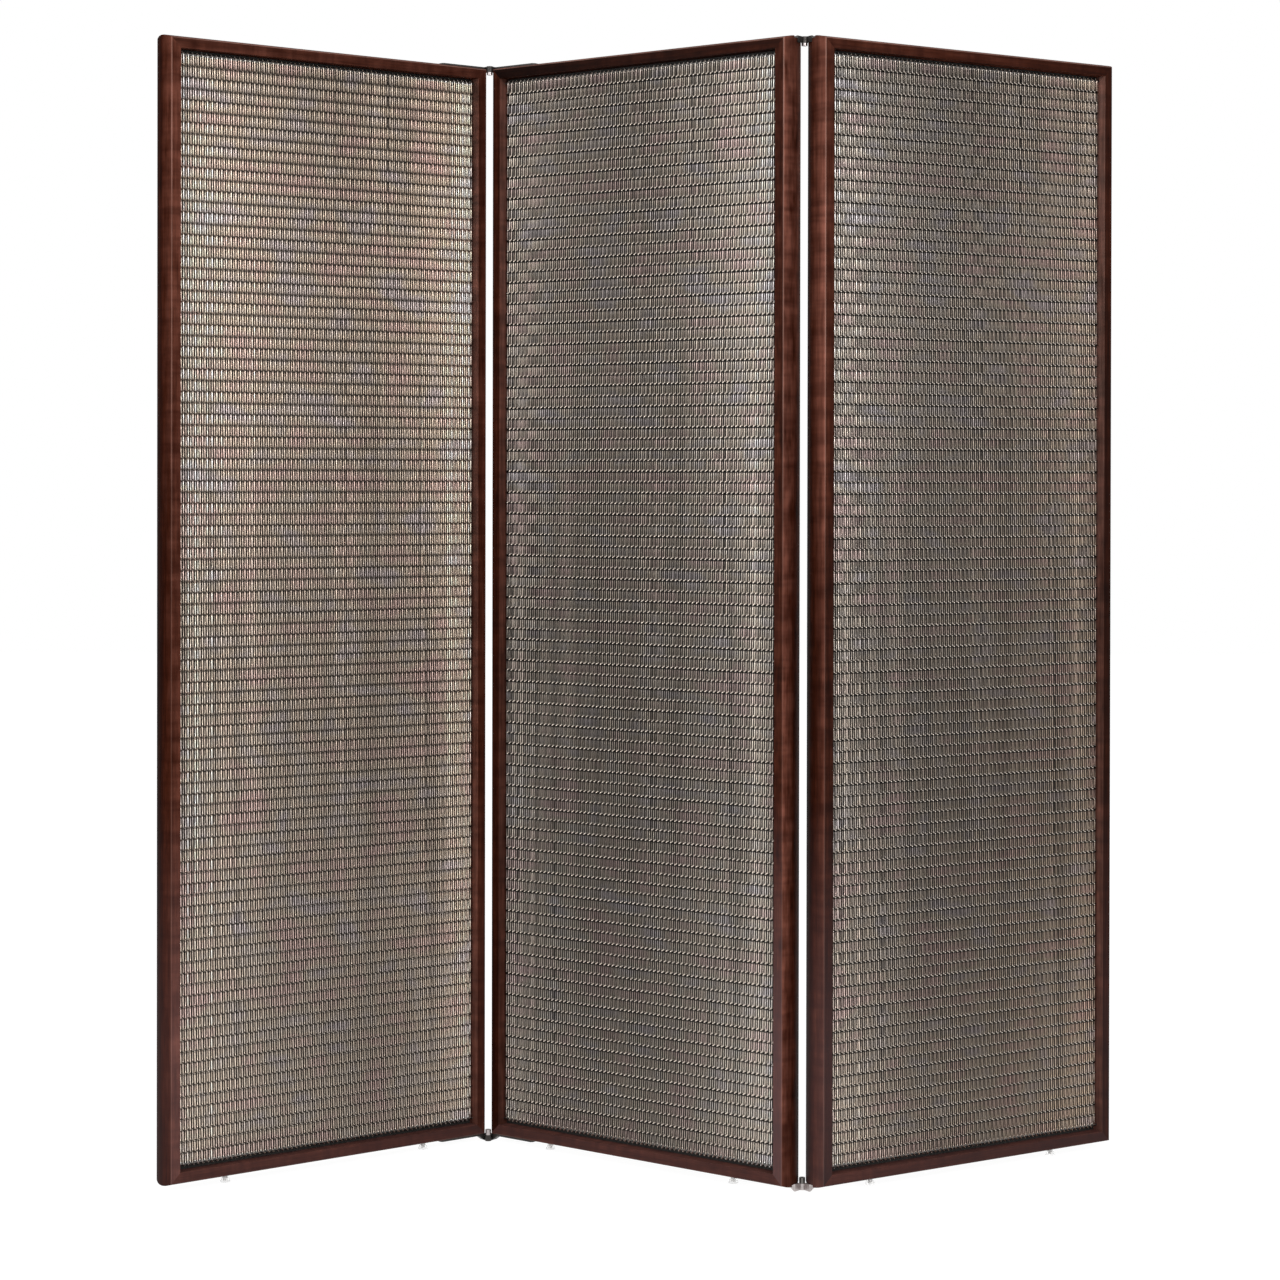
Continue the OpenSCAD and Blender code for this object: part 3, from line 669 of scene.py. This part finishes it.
def rod_lines(look, rows, turns, foot):
    """Shade and dashes, from 0 to 1. Above is the height over the nearest rod, in rows. The line of shade
    lies a drop below the rod, waves once a turn, is full within 0.07 row and gone at 0.15. A dash is where
    the sine of one turn, less the slant for each row above and half a turn at odd rods, is over 0.44. It is
    full within 0.05 row of its lift above the rod and gone at 0.14. At odd rods it is a fifth weaker."""
    nearest = (rows + 0.5).floor()
    odd = nearest.bounce(1.0)
    above = rows - nearest
    line = above + look["drop"] + (turns * math.pi).sine().far_from(0.0) * look["wave"]
    shade = line.near_zero(SHADE_PEAK, SHADE_FALL) * (odd * look["odd"] + look["shade"])
    # The dashes are painted highlights on the bends, and the line is painted shade
    slant = (turns - DASH_TURN - odd * 0.5 - (above - DASH_LIFT) * DASH_SLANT) * (2.0 * math.pi)
    bends = (slant.sine() * DASH_GAIN - DASH_CUT).clamp()
    dash = (bends * (above - DASH_LIFT).near_zero(DASH_PEAK, DASH_FALL)
            * (1.0 - 0.2 * odd) * (foot * 1.6 * look["low_dash"] + look["dash"])).clamp()
    return shade, dash


# %% Wire finish of one panel
# Painted highlights: the colour the dashes and end bends are mixed towards, how much the end bends are
# lightened, and how far they are mixed towards it
BRIGHT_BEND = (0.88, 0.79, 0.70, 1.0)
END_LIFT, END_SHINE = 1.1, 0.45
FOOT_TOP = 0.4


def wire_finish(panel):
    """Colour = hue * plain tone * room * legs, darkened by the painted line of shade and crossed by painted
    bright dashes. Turns counts the turns of the wire from its first leg, and rows the rods from the lowest.
    Within 0.1 row of the end rods, and less and less up to 0.2 row, there is no painted shade, and the bends
    are painted lighter and brighter."""
    look = WIRE_TONES[panel]
    finish = Finish(f"wire_{panel}", roughness=0.36, metallic=0.85)
    x, _, up = finish.parts(finish.place(panel))
    across = (x - MESH_X0) / MESH_LENGTH
    rows = (up - FIRST_ROD_Z) / ROW_PITCH
    height = rows / ROWS
    foot = ((FOOT_TOP - height) / FOOT_TOP).clamp()
    room = mirrored_room(look, across, height, foot)
    tone = room * leg_tones(finish, panel, look["grain"]) * look["middle"]
    wound = x if PANELS[panel]["lean"] > 0 else WIDTH - x
    turns = (wound - MESH_X0 - WIRE_WIDE) / turn_pitch(panel) - (0.5 - REAR_LEG[panel])
    shade, dash = rod_lines(look, rows, turns, foot)
    # At the end rods the painted shade gives way to a painted highlight
    ends = ((rows.far_from(0.5 * ROWS) - 0.5 * ROWS + 0.2) * 10.0).clamp()
    plain = finish.scale(metal_hue(finish, panel, look, across, height),
                         tone * (1.0 - shade * (1.0 - ends) + ends * END_LIFT))
    finish.drive("Base Color", finish.mix(dash * (1.0 - ends) + ends * END_SHINE, plain, BRIGHT_BEND))
    return finish.material


wire = {panel: wire_finish(panel) for panel in PANELS}
print("wire with", len(wire["left"].node_tree.nodes), "nodes for each of", len(wire), "panels")


# %% [markdown]
# ## Metals and nylon
# The hinge leaves are dark bronze and their pins and screws satin nickel, but at the bottom right the leaves
# are nickel and the pin is dark steel. On the bottom left hinge, in the shaded valley between the left and
# centre panels, the dark leaves are painted shade. The rods are dark too, the mesh rods as painted shade
# where the rows meet round them, and the clear glides sit on bright studs. One recipe with fine scratches
# serves all metals, because only colour and gloss tell them apart.

# %% Plain metals and nylon
def brushed(name, dark, light, roughness, metallic=1.0):
    """Metal with fine scratches: noise stretched along z sets colour and gloss."""
    finish = Finish(name, roughness=roughness, metallic=metallic)
    scratch = finish.noise(finish.place(scale=(900.0, 900.0, 60.0)), detail=2.0)
    cloud = finish.noise(finish.place(scale=(60.0, 60.0, 60.0)), detail=2.0)
    finish.drive("Base Color", finish.ramp(scratch * 0.5 + cloud * 0.5, [(0.35, dark), (0.65, light)]))
    finish.drive("Roughness", roughness - 0.06 + scratch * 0.14)
    finish.bump(scratch, 0.15, 0.0001)
    return finish.material


def nylon():
    """Clear moulded nylon with a faint grain. It lets most of the floor's light through."""
    finish = Finish("nylon", roughness=0.3, IOR=1.2, Transmission_Weight=0.9, Alpha=0.45)
    grain = finish.noise(finish.place(scale=(700.0, 700.0, 700.0)), detail=2.0)
    finish.drive("Base Color", finish.ramp(grain, [(0.3, (0.92, 0.915, 0.90)), (0.7, (0.98, 0.975, 0.965))]))
    finish.bump(grain, 0.2, 0.0001)
    return finish.material


finishes |= {
    "end_rods": brushed("rod_steel", (0.10, 0.095, 0.09), (0.19, 0.18, 0.17), 0.40),
    # The mesh rods are dark as painted shade where the rows meet round them
    "mesh_rods": brushed("rod_bronze_and_shade", (0.045, 0.038, 0.032), (0.085, 0.072, 0.060), 0.42),
    "studs": brushed("bright_zinc", (0.93, 0.925, 0.92), (0.98, 0.975, 0.97), 0.6, 0.2),
    "steel": brushed("satin_nickel", (0.36, 0.325, 0.32), (0.56, 0.51, 0.50), 0.34),
    # On the bottom left hinge these dark leaves are painted shade
    "dark": brushed("dark_bronze_and_shade", (0.030, 0.027, 0.025), (0.070, 0.062, 0.057), 0.42, 0.7),
    "nylon": nylon(),
}
print("made", ", ".join(finishes))


# %% [markdown]
# ## Dress the packed nodes
# The packed solids have the right shapes, so they keep them and only get their finish. The name of a node
# says what it is, so the name picks the finish.

# %% Give every node its finish
def finish_of(name):
    """Chooses a finish by what the node's name says it is."""
    panel = name.split("_")[0]
    if name in wood:
        return wood[name]
    if name.endswith("mesh_rows"):
        return wire[panel]
    if name.endswith("mesh_rods"):
        return finishes["mesh_rods"]
    # The bottom left leaves take the dark finish as painted shade, as that hinge stands in the shaded valley
    if name.endswith("leaf") and not name.startswith("right_bottom"):
        return finishes["dark"]
    if name == "right_bottom_hinge_pin":
        return finishes["end_rods"]
    if "_hinge_" in name and not name.endswith("stile"):
        return finishes["steel"]
    if name.endswith("studs"):
        return finishes["studs"]
    if name.endswith("glides"):
        return finishes["nylon"]
    return finishes[name.split("_", 1)[1]]


triangles = 0
for name, node in frame["nodes"].items():
    node.data.materials.clear()
    node.data.materials.append(finish_of(name))
    node.data.calc_loop_triangles()
    triangles += len(node.data.loop_triangles)
print("dressed", len(frame["nodes"]), "nodes,", triangles, "triangles")


# %% [markdown]
# ## Hang the wire
# Each face of a panel gets its 99 rows as two pieces, a lower and an upper one, which keeps each piece a
# handy size. They stand for the closed bands of the packed model.

# %% Make the twelve pieces of wire
HALF = ROWS // 2
for panel in PANELS:
    for face in ("front", "back"):
        for part, first, count in (("lower", 0, HALF), ("upper", HALF, ROWS - HALF)):
            path = coil_rows(first, count, face, panel)
            points, faces = sweep_wire(path)
            coil = quad_piece(f"{panel}_{face}_wire_{part}", stand_panel(points, panel), faces,
                              f"{panel}_panel", wire[panel])
            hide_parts(f"{panel}_{face}_mesh_rows")
            print(coil.name, 2 * len(faces), "triangles, volume", round(volume(points, faces) * 1e6), "cm3")


# %% [markdown]
# ## Camera
# The photograph was taken from chest height with the lens nearly level and shifted down, so that uprights
# stay upright. Its place, turn and lens were fitted to the twelve corners of the panels.

# %% Camera
bpy.context.scene.view_settings.view_transform = "Standard"
camera_data = bpy.data.cameras.new("camera")
camera_data.lens = 81.70
camera_data.sensor_width = 36.0
camera_data.shift_x = 0.0089
camera_data.shift_y = -0.1097
camera = bpy.data.objects.new("camera", camera_data)
camera.location = (0.0025, -4.746, 1.121)
camera.rotation_euler = [math.radians(angle) for angle in (89.624, -0.10, 0.42)]
bpy.context.scene.collection.objects.link(camera)
bpy.context.scene.camera = camera
print("camera at", [round(part, 4) for part in camera.location], "lens", round(camera_data.lens, 1), "mm")


# %% [markdown]
# ## White ground
# The ground melts into plain white and still keeps the soft shadow under the rails. A floor lit up to white
# would throw too much light back at the wood, so it is a pale matt one, and only what the camera, a mirror
# or the clear nylon sees of it is lifted. The world works the same way: it is white for the camera, and
# sheds more light from the front than from behind.

# %% Floor
FLOOR_SIDE, FLOOR_BACK = 9, 14
FLOOR_GLOW, GLOW_SHARE = 1.25, 0.76


def white_ground():
    """Pale matt floor, mixed with a white glow for camera, glossy and transmission rays alone."""
    finish = Finish("floor_white", roughness=0.9, colour=(0.86, 0.86, 0.86))
    camera_ray, glossy_ray, clear_ray = (
        finish.node("ShaderNodeLightPath", {}, {}, kind)
        for kind in ("Is Camera Ray", "Is Glossy Ray", "Is Transmission Ray"))
    matt = Val(finish, finish.shader.outputs[0])
    glow = finish.node("ShaderNodeEmission", {}, {"Color": (1, 1, 1, 1), "Strength": FLOOR_GLOW})
    share = (camera_ray + glossy_ray + clear_ray).clamp() * GLOW_SHARE
    mixed = finish.node("ShaderNodeMixShader", {}, {0: share, 1: matt, 2: glow})
    finish.tree.links.new(mixed.socket, finish.tree.nodes["Material Output"].inputs["Surface"])
    return finish.material


floor_mesh = bpy.data.meshes.new("floor")
floor_mesh.from_pydata([(-FLOOR_SIDE, -FLOOR_SIDE, 0), (FLOOR_SIDE, -FLOOR_SIDE, 0),
                        (FLOOR_SIDE, FLOOR_BACK, 0), (-FLOOR_SIDE, FLOOR_BACK, 0)], [], [(0, 1, 2, 3)])
floor_mesh.materials.append(white_ground())
floor = bpy.data.objects.new("floor", floor_mesh)
bpy.context.scene.collection.objects.link(floor)
print("floor of", 2 * FLOOR_SIDE, "by", FLOOR_SIDE + FLOOR_BACK, "m")


# %% White world
MIRRORED_LIGHT, MIRRORED_FALL = 0.9, 0.45
SHED_LIGHT, SHED_FALL = 0.5, 0.15


def white_world():
    """White for the camera. A mirror sees 0.9 - 0.45 y and a matt surface gets 0.5 - 0.15 y, where y is the
    direction's part away from the camera, so the front is the brighter side."""
    world = bpy.data.worlds.new("studio")
    world.use_nodes = True
    bpy.context.scene.world = world
    nodes = Nodes(world.node_tree)
    glossy_ray, diffuse_ray = (nodes.node("ShaderNodeLightPath", {}, {}, kind)
                               for kind in ("Is Glossy Ray", "Is Diffuse Ray"))
    _, away, _ = nodes.parts(nodes.node("ShaderNodeTexCoord", {}, {}, "Generated"))
    light = (glossy_ray * (MIRRORED_LIGHT - away * MIRRORED_FALL)
             + diffuse_ray * (SHED_LIGHT - away * SHED_FALL)
             + (1.0 - glossy_ray - diffuse_ray).at_least(0.0))
    background = world.node_tree.nodes["Background"]
    background.inputs["Color"].default_value = (1, 1, 1, 1)
    world.node_tree.links.new(light.socket, background.inputs["Strength"])


white_world()
print("world", bpy.context.scene.world.name)


# %% [markdown]
# ## Lamps
# The key light comes from the upper right in front, and a fill from the left opens the shade. Both are
# large squares of light, as softboxes are, which keeps the shadow on the ground soft.

# %% Lamps
def softbox(name, place, target, size, power):
    """A square area lamp at a place, aimed at a target."""
    lamp = bpy.data.lights.new(name, "AREA")
    lamp.shape = "SQUARE"
    lamp.size = size
    lamp.energy = power
    box = bpy.data.objects.new(name, lamp)
    aim = np.array(target) - np.array(place)
    box.location = place
    box.rotation_euler = (math.acos(aim[2] / np.linalg.norm(aim)) + math.pi,
                          0, math.atan2(aim[1], aim[0]) + math.pi / 2)
    bpy.context.scene.collection.objects.link(box)


softbox("key", (1.6, -3.6, 3.0), (-0.2, 0.0, 0.9), 1.6, 60)
softbox("left_fill", (-3.4, -2.2, 2.0), (0.0, 0.0, 0.9), 2.0, 40)
print("lamps", ", ".join(lamp.name for lamp in bpy.data.lights))


# %% [markdown]
# The box of the dressed model must stay that of the packed one.
